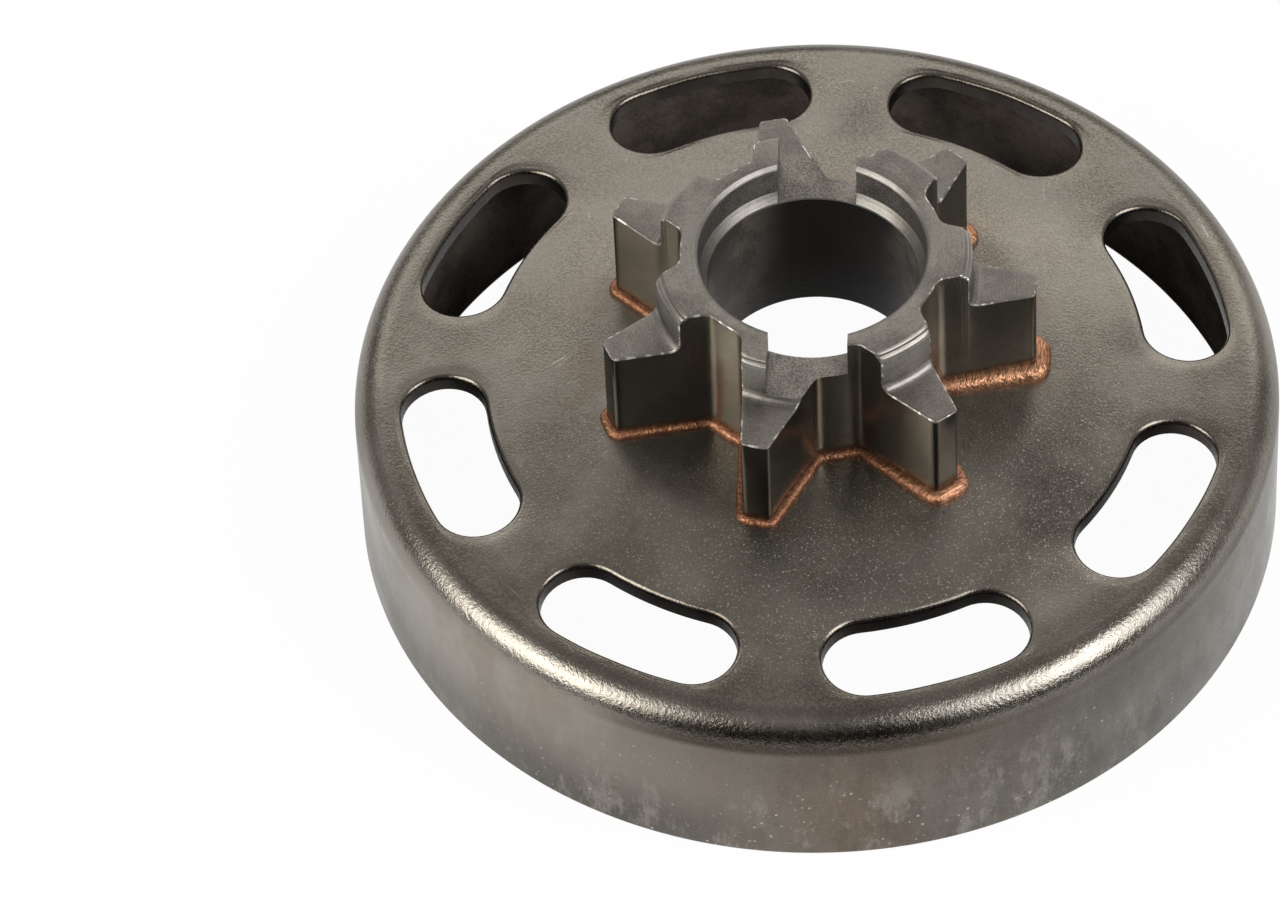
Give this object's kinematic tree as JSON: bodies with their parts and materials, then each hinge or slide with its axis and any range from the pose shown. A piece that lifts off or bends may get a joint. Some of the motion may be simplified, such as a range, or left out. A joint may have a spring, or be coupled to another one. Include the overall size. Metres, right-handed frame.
{
  "type": "chainsaw clutch drum",
  "caption": "Shallow pressed steel clutch drum with windows round its web and a brazed spur sprocket, whose slotted collar and bearing bore sit on a chainsaw's crankshaft.",
  "frame": {"origin": "on the drum's axis, in the plane of its open rim, which lies down", "axes": "+Z along the drum's axis from the open rim to the sprocket, +X through the middle of one sprocket tooth"},
  "size_m": [0.071, 0.071, 0.0287],
  "materials": {
    "drum_steel": "heat-darkened pressed sheet, satin, with fine stains and scuffs",
    "sprocket_steel": "sintered steel, satin grey, with bright worn edges and turned faces",
    "braze_copper": "matt granular copper"
  },
  "bodies": {
    "root": {"drum_cup": "drum_steel", "spur_sprocket": "sprocket_steel", "braze_bead": "braze_copper"}
  },
  "joints": []
}
